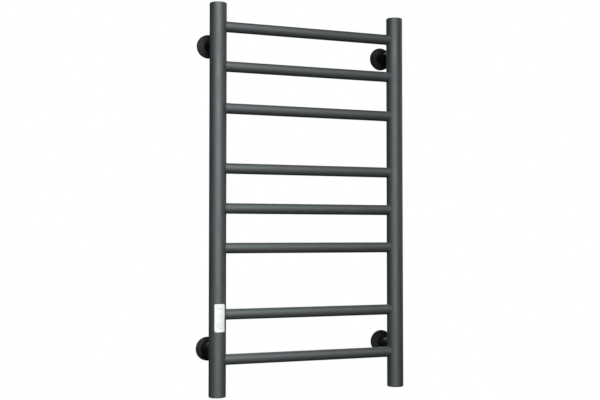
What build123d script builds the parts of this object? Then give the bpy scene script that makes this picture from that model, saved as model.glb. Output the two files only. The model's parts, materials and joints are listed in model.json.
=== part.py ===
from build123d import *
from math import cos, radians, sin, sqrt
import os

# Wall-hung electric towel warmer: a ladder of steel tube on four wall brackets, warmed by a
# heating cable that is threaded through the tubes, with its control let into the left post.
#
# Millimetres. The origin is the middle of the four wall screws, in the plane of the wall.
# +X is to the right of someone facing the wall, +Y goes into the wall and +Z is up.

# ---- Ladder ----
POST_HEIGHT = 914.0
POST_SPACING = 460.0  # between the two post axes
POST_OD = 40.0
POST_WALL = 1.5
POST_TO_WALL = 80.0  # from the post axes to the wall
RUNG_OD = 25.0
RUNG_WALL = 1.2
BOTTOM_RUNG_RISE = 86.0  # lowest rung above the feet of the posts
TOP_RUNG_DROP = 55.0  # highest rung below the tops of the posts
RUNG_GAPS = (104, 153, 92, 93, 140, 98, 93)  # between rung axes from the bottom up, as proportions
CAP_HEAD = 3.0
CAP_EDGE_RADIUS = 2.0
CAP_PLUG_DEPTH = 6.0
CAP_PLUG_WALL = 2.0
CAP_CLEARANCE = 0.1

# ---- Wall brackets ----
LOWER_BRACKET_RISE = 104.0  # above the feet of the posts
UPPER_BRACKET_DROP = 90.0  # below the tops of the posts
STANDOFF_OD = 23.0
STANDOFF_WALL = 3.0
CABLE_STANDOFF_INSET = 2.25  # each side, inside the post's width
CABLE_STANDOFF_WALL = 2.5
SLIDE_CLEARANCE = 0.1  # radial, between a standoff and the spigot that it slides on
SLEEVE_CLEARANCE = 0.1  # between the sleeve's lip and the spigot's bore
BASE_EDGE_GAP = 2.0  # between the base and the rosette round it
BASE_THICKNESS = 4.0
BASE_GAP = 0.5  # between a standoff's end and the base
SPIGOT_LENGTH = 22.0
SPIGOT_WALL = 2.2
CABLE_SPIGOT_WALL = 1.9
WALL_SCREW_HOLE = 5.5
SUPPLY_HOLE = 7.7
SUPPLY_HOLE_WEB = 0.8  # metal left between the two holes of the cable bracket's base
SLEEVE_WALL = 0.5
SLEEVE_LIP = 1.0
SLEEVE_LENGTH = 6.0
SET_SCREW_DIAMETER = 4.0
SET_SCREW_FROM_WALL = 16.0
SET_SCREW_RECESS = 0.05
SET_SCREW_SOCKET = 2.0  # across the flats
SET_SCREW_SOCKET_DEPTH = 1.3
ROSETTE_RADIUS = 28.2
ROSETTE_SHEET = 1.2
ROSETTE_RIM = 5.4
ROSETTE_DEPTH = 8.8
ROSETTE_BORE_CLEARANCE = 0.3
ROSETTE_COLLAR = 2.4
COLLAR_GAP = 0.1  # from the collar's end to the base
RING_SECTION = 1.6
RING_SEAT_CLEARANCE = 0.05  # each side of the ring

# ---- Heating cable ----
CABLE_DIAMETER = 5.0
CABLE_CLEARANCE = 0.6  # to the tubes that it runs through
CABLE_BEND = 20.0  # radius of every bend, at the centreline
CABLE_LIE_ANGLE = 45.0  # where it lies in a rung, from the bottom round towards the wall
CABLE_DROP_OFFSET = 5.0  # where it comes down the left post, left of the post's axis
CABLE_LEAD = 8.0  # first straight, below the control's terminals
CABLE_TAIL = 26.0  # end of the cable above where it lies in the top rung
END_SEAL_DIAMETER = 7.0
END_SEAL_LENGTH = 12.0
END_SEAL_GRIP = 4.0
END_SEAL_TIP_RADIUS = 1.75

# ---- Control, let into the left post ----
PANEL_RISE = 183.0  # middle of the panel above the foot of the post
PANEL_WIDTH = 24.3
PANEL_HEIGHT = 64.0
PANEL_CORNER = 2.5
PANEL_PROUD = 0.6
GASKET_WIDTH = 0.5
HOUSING_CLEARANCE = 0.4  # to the post's bore
HOUSING_SIDE_INSET = 0.15  # each side, inside the panel's width
HOUSING_OVERLAP = 5.5  # beyond the panel's ends, behind the post's wall
HOUSING_WALL = 1.2
HOUSING_END_WALL = 2.0
KEY_RADIUS = 6.2
KEY_GAP = 0.2
CABLE_HOLE_CLEARANCE = 0.2  # round the cable, in the housing's floor
KEY_PROUD = 0.4
KEY_TRAVEL = 0.5
KEY_FLANGE_LIP = 1.0  # how far the flange reaches past the key
KEY_FLANGE = 0.8
KEY_FLANGE_GAP = 0.15
KEY_STEM_RADIUS = 2.0
KEY_STEM = 1.6
TIMER_KEY_RISE = 5.9  # above the middle of the panel
POWER_KEY_RISE = -16.9
LED_RISE = 21.0
LED_PITCH = 5.0
LED_SIZE = 1.6
LED_HEIGHT = 0.8
PIPE_RADIUS = 1.1
PIPE_FIT = 0.05
SWITCH_SIZE = 6.0
SWITCH_HEIGHT = 3.0  # to the top of its plunger
SWITCH_BODY_HEIGHT = 2.0
PLUNGER_RADIUS = 1.5
PLUNGER_LENGTH = 1.5
PLUNGER_CLEARANCE = 0.1
BOARD_THICKNESS = 1.6
BOARD_END_GAP = 2.0  # from the board's top to the housing
TERMINAL_END_GAP = 1.0  # from the terminals' foot to the housing
COMPONENT_HEIGHT = 4.4
TERMINAL_SIZE = (15.0, 8.0, 9.0)
TRIAC_SIZE = (10.0, 4.2, 15.0)
TRIAC_RISE = 21.0
CAPACITOR_SIZE = (13.0, 4.2, 11.0)
CAPACITOR_RISE = 3.0
FUSE_RADIUS = 1.9
FUSE_LENGTH = 12.0
FUSE_RISE = -8.0
CHIP_SIZE = (7.0, 1.2, 7.0)
CHIP_RISE = 28.5
SENSOR_RADIUS = 2.0
SENSOR_LENGTH = 14.0
SENSOR_TIP_RADIUS = 1.8

# ---- Wire hole and earth terminal, inside the cable bracket's standoff ----
WIRE_HOLE = 10.0
WIRE_HOLE_DROP = 5.0  # below the bracket's axis
GROMMET_BORE = 6.5
GROMMET_LIP = 1.0
EARTH_STUD_DIAMETER = 4.0
EARTH_STUD_LENGTH = 12.0
EARTH_STUD_RISE = 6.5
EARTH_WASHER_RADIUS = 4.4
EARTH_WASHER = 0.8
EARTH_NUT_FLATS = 7.0
EARTH_NUT = 3.2
EARTH_CLEARANCE = 0.1  # radial, round the stud

# ---- Worked out from the sizes above ----
LEFT_X = -POST_SPACING / 2
POST_R = POST_OD / 2
POST_BORE = POST_R - POST_WALL
RUNG_R = RUNG_OD / 2
RUNG_BORE = RUNG_R - RUNG_WALL
POST_X = POST_SPACING / 2
POST_Y = -POST_TO_WALL
BRACKET_Z = (POST_HEIGHT - LOWER_BRACKET_RISE - UPPER_BRACKET_DROP) / 2
FOOT_Z = -BRACKET_Z - LOWER_BRACKET_RISE
TOP_Z = FOOT_Z + POST_HEIGHT
RUNG_SPAN = POST_HEIGHT - BOTTOM_RUNG_RISE - TOP_RUNG_DROP
RUNG_Z = [
    FOOT_Z + BOTTOM_RUNG_RISE + RUNG_SPAN * sum(RUNG_GAPS[:i]) / sum(RUNG_GAPS)
    for i in range(len(RUNG_GAPS) + 1)
]

CABLE_R = CABLE_DIAMETER / 2
SPIGOT_R = STANDOFF_OD / 2 - STANDOFF_WALL - SLIDE_CLEARANCE
CABLE_STANDOFF_R = POST_R - CABLE_STANDOFF_INSET
CABLE_SPIGOT_R = CABLE_STANDOFF_R - CABLE_STANDOFF_WALL - SLIDE_CLEARANCE
CABLE_SPIGOT_BORE = CABLE_SPIGOT_R - CABLE_SPIGOT_WALL
SUPPLY_HOLE_RISE = WALL_SCREW_HOLE / 2 + SUPPLY_HOLE_WEB + SUPPLY_HOLE / 2

PANEL_Z = FOOT_Z + PANEL_RISE
KEY_FLANGE_RADIUS = KEY_RADIUS + KEY_FLANGE_LIP
HOUSING_WIDTH = PANEL_WIDTH - 2 * HOUSING_SIDE_INSET
HOUSING_HEIGHT = PANEL_HEIGHT + 2 * HOUSING_OVERLAP
HOUSING_INSIDE_RISE = HOUSING_HEIGHT / 2 - HOUSING_END_WALL
BOARD_TOP = HOUSING_INSIDE_RISE - BOARD_END_GAP
BOARD_BOTTOM = TERMINAL_END_GAP + TERMINAL_SIZE[2] - HOUSING_INSIDE_RISE
PANEL_FACE_R = POST_R + PANEL_PROUD
HOUSING_R = POST_BORE - HOUSING_CLEARANCE
PANEL_BACK_R = HOUSING_R
KEY_FLANGE_Y = POST_Y - sqrt(PANEL_BACK_R**2 - KEY_FLANGE_RADIUS**2) + KEY_FLANGE_GAP
PLUNGER_Y = KEY_FLANGE_Y + KEY_FLANGE + KEY_STEM
BOARD_Y = PLUNGER_Y + SWITCH_HEIGHT
BOARD_BACK_Y = BOARD_Y + BOARD_THICKNESS
HOUSING_FLOOR_Y = BOARD_BACK_Y + COMPONENT_HEIGHT
HOUSING_BACK_Y = HOUSING_FLOOR_Y + HOUSING_WALL
BOARD_WIDTH = HOUSING_WIDTH - 2 * HOUSING_WALL
TERMINAL_Y = HOUSING_FLOOR_Y - TERMINAL_SIZE[1] / 2
TERMINAL_FOOT_Z = PANEL_Z + BOARD_BOTTOM - TERMINAL_SIZE[2]
BASE_RADIUS = ROSETTE_RADIUS - ROSETTE_SHEET - BASE_EDGE_GAP

# name, x, z, outer radius of the standoff, its wall, radius and wall of the spigot inside it
BRACKETS = [
    ("top_left", LEFT_X, BRACKET_Z, STANDOFF_OD / 2, STANDOFF_WALL, SPIGOT_R, SPIGOT_WALL),
    ("top_right", POST_X, BRACKET_Z, STANDOFF_OD / 2, STANDOFF_WALL, SPIGOT_R, SPIGOT_WALL),
    ("bottom_right", POST_X, -BRACKET_Z, STANDOFF_OD / 2, STANDOFF_WALL, SPIGOT_R, SPIGOT_WALL),
    (
        "bottom_left",
        LEFT_X,
        -BRACKET_Z,
        CABLE_STANDOFF_R,
        CABLE_STANDOFF_WALL,
        CABLE_SPIGOT_R,
        CABLE_SPIGOT_WALL,
    ),
]


def rod_x(radius, x_from, x_to, y, z):
    middle = (x_from + x_to) / 2
    return Pos(middle, y, z) * Rot(0, 90, 0) * Cylinder(radius, abs(x_to - x_from))


def rod_y(radius, y_from, y_to, x, z):
    middle = (y_from + y_to) / 2
    return Pos(x, middle, z) * Rot(90, 0, 0) * Cylinder(radius, abs(y_to - y_from))


def rod_z(radius, z_from, z_to, x, y):
    return Pos(x, y, (z_from + z_to) / 2) * Cylinder(radius, abs(z_to - z_from))


def block(size, x, y, z):
    return Pos(x, y, z) * Box(*size)


def panel_prism(width, height, corner, y_from, y_to):
    """A rounded rectangle as the panel's outline, drawn from y_from to y_to through the left post."""
    outline = Pos(LEFT_X, y_from, PANEL_Z) * Rot(90, 0, 0) * RectangleRounded(width, height, corner)
    return extrude(outline, y_to - y_from, dir=(0, 1, 0))


def save(name, shape):
    export_step(shape, f"parts/{name}.step")


# ---- Ladder ----
def post(x):
    """A post's tube, with a hole for the end of each rung in the side that faces the other post."""
    low, high = FOOT_Z + CAP_HEAD, TOP_Z - CAP_HEAD
    tube = rod_z(POST_R, low, high, x, POST_Y) - rod_z(POST_BORE, low, high, x, POST_Y)
    for z in RUNG_Z:
        tube -= rod_x(RUNG_R, x, 0, POST_Y, z)
    return tube


def left_post():
    """The left post is also cut for the control panel in front and for the wires behind."""
    tube = post(LEFT_X)
    wire_hole = rod_y(WIRE_HOLE / 2, POST_Y, 0, LEFT_X, -BRACKET_Z - WIRE_HOLE_DROP)
    return tube - panel_slot() - wire_hole


def panel_slot():
    """The opening in the left post for the panel and the gasket round it."""
    return panel_prism(
        PANEL_WIDTH + 2 * GASKET_WIDTH,
        PANEL_HEIGHT + 2 * GASKET_WIDTH,
        PANEL_CORNER + GASKET_WIDTH,
        POST_Y - POST_OD,
        POST_Y,
    )


def rung(z):
    """A tube whose ends are cut to the posts' bores, and to the panel's slot where that meets it."""
    tube = rod_x(RUNG_R, -POST_X, POST_X, POST_Y, z) - rod_x(RUNG_BORE, -POST_X, POST_X, POST_Y, z)
    for x in (LEFT_X, POST_X):
        tube -= rod_z(POST_BORE, z - POST_OD, z + POST_OD, x, POST_Y)
    return tube - panel_slot()


def end_cap(x, top):
    """A cap with a rounded edge, and a hollow plug that fits the post's bore."""
    plug_r = POST_BORE - CAP_CLEARANCE
    head = Cylinder(POST_R, CAP_HEAD, align=(Align.CENTER, Align.CENTER, Align.MIN))
    head = fillet(head.edges().group_by(Axis.Z)[-1], CAP_EDGE_RADIUS)
    plug = rod_z(plug_r, 0, -CAP_PLUG_DEPTH, 0, 0)
    plug -= rod_z(plug_r - CAP_PLUG_WALL, 0, -CAP_PLUG_DEPTH, 0, 0)
    cap = head + plug
    if top:
        return Pos(x, POST_Y, TOP_Z - CAP_HEAD) * cap
    return Pos(x, POST_Y, FOOT_Z + CAP_HEAD) * Rot(180, 0, 0) * cap


# ---- Wall brackets ----
def standoff(x, z, radius, wall):
    """A tube from the wall base to the post, shaped to the post's surface, with a set screw hole."""
    end = -BASE_THICKNESS - BASE_GAP
    tube = rod_y(radius, POST_Y, end, x, z) - rod_y(radius - wall, POST_Y, end, x, z)
    tube -= rod_z(POST_R, z - POST_OD, z + POST_OD, x, POST_Y)
    return tube - rod_z(SET_SCREW_DIAMETER / 2, z, z - radius, x, -SET_SCREW_FROM_WALL)


def set_screw(x, z, radius, wall):
    """A headless screw that fills the standoff's wall, with a hexagon socket from below."""
    low, high = z - radius + SET_SCREW_RECESS, z - radius + wall - SET_SCREW_RECESS
    screw = rod_z(SET_SCREW_DIAMETER / 2, low, high, x, -SET_SCREW_FROM_WALL)
    hexagon = RegularPolygon(SET_SCREW_SOCKET / 2, 6, major_radius=False)
    socket = Pos(x, -SET_SCREW_FROM_WALL, low) * extrude(hexagon, SET_SCREW_SOCKET_DEPTH)
    return screw - socket


def wall_base(x, z, spigot_r, spigot_wall):
    """A disc with the wall screw's hole in the middle, and a hollow spigot round the screw's head."""
    front = -BASE_THICKNESS
    base = rod_y(BASE_RADIUS, front, 0, x, z)
    spigot = rod_y(spigot_r, front - SPIGOT_LENGTH, front, x, z)
    spigot -= rod_y(spigot_r - spigot_wall, front - SPIGOT_LENGTH, front, x, z)
    return base + spigot - rod_y(WALL_SCREW_HOLE / 2, front, 0, x, z)


def cable_wall_base(x, z, spigot_r, spigot_wall):
    """The cable bracket's base also has a hole for the supply cable, above its screw."""
    supply_hole = rod_y(SUPPLY_HOLE / 2, -BASE_THICKNESS, 0, x, z + SUPPLY_HOLE_RISE)
    return wall_base(x, z, spigot_r, spigot_wall) - supply_hole


def supply_sleeve(x, z):
    """A rubber sleeve that lines the supply cable's hole, with a lip inside the spigot."""
    centre_z = z + SUPPLY_HOLE_RISE
    hole_r = SUPPLY_HOLE / 2
    sleeve = rod_y(hole_r, -BASE_THICKNESS, 0, x, centre_z)
    lip = rod_y(hole_r + SLEEVE_LIP, -SLEEVE_LENGTH, -BASE_THICKNESS, x, centre_z)
    lip &= rod_y(CABLE_SPIGOT_BORE - SLEEVE_CLEARANCE, -SLEEVE_LENGTH, -BASE_THICKNESS, x, z)
    return sleeve + lip - rod_y(hole_r - SLEEVE_WALL, -SLEEVE_LENGTH, 0, x, centre_z)


def turned(profile, x, z):
    """A ring turned about a bracket's axis from (radius, y) corners."""
    face = make_face(Polyline(*profile, close=True))
    return Pos(x, 0, z) * revolve(face, Axis.Y)


def rosette(x, z, standoff_r):
    """A domed cover for the base, with a collar that slides on the standoff and holds a grip ring."""
    bore = standoff_r + ROSETTE_BORE_CLEARANCE
    collar = bore + ROSETTE_COLLAR
    inner_r = ROSETTE_RADIUS - ROSETTE_SHEET
    collar_back = -BASE_THICKNESS - COLLAR_GAP
    shell = turned(
        [
            (ROSETTE_RADIUS, 0),
            (ROSETTE_RADIUS, -ROSETTE_RIM),
            (collar, -ROSETTE_DEPTH),
            (bore, -ROSETTE_DEPTH),
            (bore, collar_back),
            (collar, collar_back),
            (collar, -ROSETTE_DEPTH + ROSETTE_SHEET),
            (inner_r, -ROSETTE_RIM + ROSETTE_SHEET),
            (inner_r, 0),
        ],
        x,
        z,
    )
    circles = shell.edges().filter_by(GeomType.CIRCLE)
    rim = circles.group_by(SortBy.RADIUS)[-1].sort_by(Axis.Y)[0]
    shell = fillet(rim, ROSETTE_SHEET / 2)
    middle_y = (-ROSETTE_DEPTH + collar_back) / 2
    half = RING_SECTION / 2 + RING_SEAT_CLEARANCE
    seat = turned(
        [
            (bore - half, middle_y - half),
            (standoff_r + 2 * half, middle_y - half),
            (standoff_r + 2 * half, middle_y + half),
            (bore - half, middle_y + half),
        ],
        x,
        z,
    )
    ring_r = standoff_r + half
    ring = Pos(x, middle_y, z) * Rot(90, 0, 0) * Torus(ring_r, RING_SECTION / 2)
    return shell - seat, ring


# ---- Wire hole and earth terminal ----
def wire_grommet():
    """A rubber grommet in the post's wire hole, with a lip behind the post."""
    x, z = LEFT_X, -BRACKET_Z - WIRE_HOLE_DROP
    hole_r = WIRE_HOLE / 2
    back = POST_Y + POST_R + GROMMET_LIP
    body = rod_y(hole_r, POST_Y, back, x, z) & (
        rod_z(POST_R, z - WIRE_HOLE, z + WIRE_HOLE, x, POST_Y)
        - rod_z(POST_BORE, z - WIRE_HOLE, z + WIRE_HOLE, x, POST_Y)
    )
    lip = rod_y(hole_r + GROMMET_LIP, POST_Y, back, x, z) - rod_z(
        POST_R, z - WIRE_HOLE, z + WIRE_HOLE, x, POST_Y
    )
    return body + lip - rod_y(GROMMET_BORE / 2, POST_Y, 0, x, z)


def earth_terminal():
    """A stud welded to the back of the post, with a washer and a nut for the earth wire's tag."""
    x, z = LEFT_X, -BRACKET_Z + EARTH_STUD_RISE
    surface = POST_Y + POST_R
    around_post = rod_z(POST_R, z - POST_OD, z + POST_OD, x, POST_Y)
    stud = rod_y(EARTH_STUD_DIAMETER / 2, POST_Y, surface + EARTH_STUD_LENGTH, x, z) - around_post
    hole = rod_y(EARTH_STUD_DIAMETER / 2 + EARTH_CLEARANCE, POST_Y, 0, x, z)
    nut_y = surface + EARTH_WASHER
    washer = rod_y(EARTH_WASHER_RADIUS, surface, nut_y, x, z) - hole
    hexagon = Pos(x, nut_y, z) * Rot(90, 0, 0) * RegularPolygon(
        EARTH_NUT_FLATS / 2, 6, major_radius=False
    )
    nut = extrude(hexagon, EARTH_NUT, dir=(0, 1, 0)) - hole
    return stud, washer, nut


# ---- Heating cable ----
def cable_points():
    """Corners of the cable's route: down from the control, then to and fro through every rung."""
    lie = RUNG_BORE - CABLE_R - CABLE_CLEARANCE
    back = lie * sin(radians(CABLE_LIE_ANGLE))
    sag = lie * cos(radians(CABLE_LIE_ANGLE))
    drop_x = LEFT_X - CABLE_DROP_OFFSET
    lead_z = TERMINAL_FOOT_Z - CABLE_LEAD
    points = [(drop_x, TERMINAL_Y, TERMINAL_FOOT_Z), (drop_x, TERMINAL_Y, lead_z)]
    points.append((drop_x, POST_Y + back, RUNG_Z[0] - sag))
    side = 1
    for i, z in enumerate(RUNG_Z):
        last = i + 1 == len(RUNG_Z)
        room = POST_BORE - CABLE_CLEARANCE - (END_SEAL_DIAMETER / 2 if last else CABLE_R)
        x = side * (POST_X + sqrt(room**2 - back**2))
        next_z = z + CABLE_TAIL if last else RUNG_Z[i + 1]
        points.append((x, POST_Y + back, z - sag))
        points.append((x, POST_Y + back, next_z - sag))
        side = -side
    return points


def heating_cable():
    points = cable_points()
    route = FilletPolyline(*points, radius=CABLE_BEND)
    start = Plane(origin=points[0], z_dir=(0, 0, -1))
    print("cable route", round(route.length), "mm, bends of", CABLE_BEND, "mm")
    return sweep(start * Circle(CABLE_R), path=route)


def cable_end_seal():
    """A shrunk cap over the far end of the cable."""
    x, y, z = cable_points()[-1]
    seal = rod_z(END_SEAL_DIAMETER / 2, z - END_SEAL_GRIP, z - END_SEAL_GRIP + END_SEAL_LENGTH, x, y)
    seal = fillet(seal.edges().group_by(Axis.Z)[-1], END_SEAL_TIP_RADIUS)
    return seal - rod_z(CABLE_R, z - END_SEAL_GRIP, z, x, y)


# ---- Control ----
def control_panel():
    """A curved white cover that fills the post's slot, with holes for the keys and light pipes."""
    sheet = rod_z(PANEL_FACE_R, FOOT_Z, TOP_Z, LEFT_X, POST_Y)
    sheet -= rod_z(PANEL_BACK_R, FOOT_Z, TOP_Z, LEFT_X, POST_Y)
    panel = sheet & panel_prism(PANEL_WIDTH, PANEL_HEIGHT, PANEL_CORNER, POST_Y - POST_OD, POST_Y)
    for rise in (TIMER_KEY_RISE, POWER_KEY_RISE):
        panel -= rod_y(KEY_RADIUS + KEY_GAP, POST_Y - POST_OD, POST_Y, LEFT_X, PANEL_Z + rise)
    for x in led_places():
        panel -= rod_y(PIPE_RADIUS, POST_Y - POST_OD, POST_Y, x, PANEL_Z + LED_RISE)
    return panel


def panel_gasket():
    """A rubber frame that fills the gap between the panel and the slot in the post."""
    panel = panel_prism(PANEL_WIDTH, PANEL_HEIGHT, PANEL_CORNER, POST_Y - POST_OD, POST_Y)
    wall = rod_z(POST_R, FOOT_Z, TOP_Z, LEFT_X, POST_Y)
    wall -= rod_z(POST_BORE, FOOT_Z, TOP_Z, LEFT_X, POST_Y)
    return (panel_slot() - panel) & wall


def control_housing():
    """A tray behind the slot, open towards the panel, with a hole in its floor for the cable."""
    depth = HOUSING_BACK_Y - POST_Y + POST_R
    middle_y = HOUSING_BACK_Y - depth / 2
    tray = block((HOUSING_WIDTH, depth, HOUSING_HEIGHT), LEFT_X, middle_y, PANEL_Z)
    tray &= rod_z(HOUSING_R, FOOT_Z, TOP_Z, LEFT_X, POST_Y)
    inside = (
        HOUSING_WIDTH - 2 * HOUSING_WALL,
        depth,
        HOUSING_HEIGHT - 2 * HOUSING_END_WALL,
    )
    tray -= block(inside, LEFT_X, middle_y - HOUSING_WALL, PANEL_Z)
    x, y, _ = cable_points()[0]
    return tray - rod_z(CABLE_R + CABLE_HOLE_CLEARANCE, FOOT_Z, PANEL_Z, x, y)


def circuit_board():
    height = BOARD_TOP - BOARD_BOTTOM
    z = PANEL_Z + (BOARD_TOP + BOARD_BOTTOM) / 2
    size = (BOARD_WIDTH, BOARD_THICKNESS, height)
    return block(size, LEFT_X, BOARD_Y + BOARD_THICKNESS / 2, z)


def behind_board(size, rise):
    """A component that stands on the back of the board."""
    return block(size, LEFT_X, BOARD_BACK_Y + size[1] / 2, PANEL_Z + rise)


def board_fuse():
    x_from, x_to = LEFT_X - FUSE_LENGTH / 2, LEFT_X + FUSE_LENGTH / 2
    return rod_x(FUSE_RADIUS, x_from, x_to, BOARD_BACK_Y + FUSE_RADIUS, PANEL_Z + FUSE_RISE)


def controller_chip():
    return block(CHIP_SIZE, LEFT_X, BOARD_Y - CHIP_SIZE[1] / 2, PANEL_Z + CHIP_RISE)


def terminal_block():
    """A block under the board, where the cable and the supply wires end."""
    z = TERMINAL_FOOT_Z + TERMINAL_SIZE[2] / 2
    return block(TERMINAL_SIZE, LEFT_X, TERMINAL_Y, z)


def led_places():
    return [LEFT_X + i * LED_PITCH for i in (-1, 0, 1)]


def indicator_leds():
    y = BOARD_Y - LED_HEIGHT / 2
    return [block((LED_SIZE, LED_HEIGHT, LED_SIZE), x, y, PANEL_Z + LED_RISE) for x in led_places()]


def light_pipes():
    """Clear rods from the lamps to the panel's face, cut to its curve."""
    face = rod_z(PANEL_FACE_R, FOOT_Z, TOP_Z, LEFT_X, POST_Y)
    radius = PIPE_RADIUS - PIPE_FIT
    y_to = BOARD_Y - LED_HEIGHT
    return [
        rod_y(radius, POST_Y - POST_OD, y_to, x, PANEL_Z + LED_RISE) & face for x in led_places()
    ]


def key_switch(rise):
    """A small push switch on the board, with a well in which its plunger moves."""
    z = PANEL_Z + rise
    size = (SWITCH_SIZE, SWITCH_BODY_HEIGHT, SWITCH_SIZE)
    body = block(size, LEFT_X, BOARD_Y - SWITCH_BODY_HEIGHT / 2, z)
    well_y = PLUNGER_Y + PLUNGER_LENGTH + KEY_TRAVEL + PLUNGER_CLEARANCE
    return body - rod_y(PLUNGER_RADIUS + PLUNGER_CLEARANCE, POST_Y - POST_OD, well_y, LEFT_X, z)


def key(rise):
    """A round key with a crown that follows the panel, a flange that keeps it in, and a stem."""
    z = PANEL_Z + rise
    flange_back = KEY_FLANGE_Y + KEY_FLANGE
    crown = rod_z(PANEL_FACE_R + KEY_PROUD, FOOT_Z, TOP_Z, LEFT_X, POST_Y)
    cap = rod_y(KEY_RADIUS, POST_Y - POST_OD, KEY_FLANGE_Y, LEFT_X, z) & crown
    flange = rod_y(KEY_FLANGE_RADIUS, KEY_FLANGE_Y, flange_back, LEFT_X, z)
    return cap + flange + rod_y(KEY_STEM_RADIUS, flange_back, PLUNGER_Y, LEFT_X, z)


def key_plunger(rise):
    z = PANEL_Z + rise
    return rod_y(PLUNGER_RADIUS, PLUNGER_Y, PLUNGER_Y + PLUNGER_LENGTH, LEFT_X, z)


def tube_sensor():
    """A temperature probe that stands on the housing, inside the post."""
    low = PANEL_Z + HOUSING_HEIGHT / 2
    probe = rod_z(SENSOR_RADIUS, low, low + SENSOR_LENGTH, LEFT_X, BOARD_Y)
    return fillet(probe.edges().group_by(Axis.Z)[-1], SENSOR_TIP_RADIUS)


def build_ladder():
    save("left_post", left_post())
    save("right_post", post(POST_X))
    for i, z in enumerate(RUNG_Z):
        save(f"rung_{i + 1}", rung(z))
    for side, x in (("left", LEFT_X), ("right", POST_X)):
        save(f"{side}_post_top_cap", end_cap(x, True))
        save(f"{side}_post_foot_cap", end_cap(x, False))


def build_brackets():
    screws = []
    for name, x, z, radius, wall, spigot_r, spigot_wall in BRACKETS:
        save(f"standoff_{name}", standoff(x, z, radius, wall))
        screws.append(set_screw(x, z, radius, wall))
        cover, ring = rosette(x, z, radius)
        save(f"rosette_{name}", cover)
        save(f"grip_ring_{name}", ring)
        make_base = cable_wall_base if name == "bottom_left" else wall_base
        save(f"wall_base_{name}", make_base(x, z, spigot_r, spigot_wall))
    save("set_screws", Compound(children=screws))
    save("supply_sleeve", supply_sleeve(LEFT_X, -BRACKET_Z))
    save("wire_grommet", wire_grommet())
    for name, piece in zip(("earth_stud", "earth_washer", "earth_nut"), earth_terminal()):
        save(name, piece)


def build_control():
    save("heating_cable", heating_cable())
    save("cable_end_seal", cable_end_seal())
    save("control_panel", control_panel())
    save("panel_gasket", panel_gasket())
    save("control_housing", control_housing())
    save("circuit_board", circuit_board())
    save("terminal_block", terminal_block())
    save("heater_triac", behind_board(TRIAC_SIZE, TRIAC_RISE))
    save("supply_capacitor", behind_board(CAPACITOR_SIZE, CAPACITOR_RISE))
    save("board_fuse", board_fuse())
    save("controller_chip", controller_chip())
    save("tube_sensor", tube_sensor())
    save("indicator_leds", Compound(children=indicator_leds()))
    save("light_pipes", Compound(children=light_pipes()))
    switches = [key_switch(TIMER_KEY_RISE), key_switch(POWER_KEY_RISE)]
    save("key_switches", Compound(children=switches))
    for name, rise in (("timer", TIMER_KEY_RISE), ("power", POWER_KEY_RISE)):
        save(f"{name}_key", key(rise))
        save(f"{name}_key_plunger", key_plunger(rise))


os.makedirs("parts", exist_ok=True)
build_ladder()
build_brackets()
build_control()
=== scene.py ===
import json
from math import atan2, cos, pi, radians, sin, sqrt

import bmesh
import bpy
from bpy.props import FloatProperty, FloatVectorProperty, IntProperty, PointerProperty
from mathutils import Euler, Matrix, Vector


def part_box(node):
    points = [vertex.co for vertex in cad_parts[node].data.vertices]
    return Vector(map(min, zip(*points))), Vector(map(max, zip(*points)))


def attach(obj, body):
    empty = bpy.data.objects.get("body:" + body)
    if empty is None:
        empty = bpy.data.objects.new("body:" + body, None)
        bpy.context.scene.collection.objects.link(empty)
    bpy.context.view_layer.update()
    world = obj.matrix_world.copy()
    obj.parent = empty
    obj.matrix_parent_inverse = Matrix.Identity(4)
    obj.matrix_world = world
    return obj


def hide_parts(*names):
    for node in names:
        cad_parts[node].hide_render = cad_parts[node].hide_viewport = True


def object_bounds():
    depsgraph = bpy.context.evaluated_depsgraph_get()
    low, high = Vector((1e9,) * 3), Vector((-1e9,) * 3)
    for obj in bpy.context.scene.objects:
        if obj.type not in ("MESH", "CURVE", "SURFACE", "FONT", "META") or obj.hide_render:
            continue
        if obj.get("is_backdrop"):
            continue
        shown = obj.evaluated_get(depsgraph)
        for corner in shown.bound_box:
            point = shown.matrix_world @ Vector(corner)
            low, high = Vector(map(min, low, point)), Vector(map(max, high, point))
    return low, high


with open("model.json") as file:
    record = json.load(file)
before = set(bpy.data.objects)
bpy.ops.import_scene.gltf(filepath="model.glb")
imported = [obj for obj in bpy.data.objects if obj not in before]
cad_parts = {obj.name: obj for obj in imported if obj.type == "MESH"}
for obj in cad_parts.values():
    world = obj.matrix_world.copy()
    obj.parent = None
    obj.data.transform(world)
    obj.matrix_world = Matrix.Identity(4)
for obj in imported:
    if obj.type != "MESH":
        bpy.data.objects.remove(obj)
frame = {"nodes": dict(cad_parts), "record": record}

# The looks of a wall-hung towel warmer: a ladder of powder-coated steel tube on four wall
# brackets, with a white control panel let into its left post. Metres, +Z up, wall at Y = 0.

bl_info = {
    "name": "Towel warmer",
    "version": (1, 0, 0),
    "blender": (4, 5, 0),
    "location": "View3D > Sidebar > Towel warmer",
    "description": "Builds the tubes, brackets and control panel of a towel warmer",
    "category": "Object",
}

MM = 0.001


def view_layer_bounds():
    bpy.context.view_layer.update()
    return [list(corner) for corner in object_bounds()]


CAD_BOX = view_layer_bounds()

# ---- Places and sizes that the frame gives ----
RUNGS = [f"rung_{i + 1}" for i in range(8)]
CORNERS = ["top_left", "top_right", "bottom_left", "bottom_right"]


def middle(node):
    low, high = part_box(node)
    return (low + high) / 2


def size(node):
    low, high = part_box(node)
    return high - low


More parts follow.
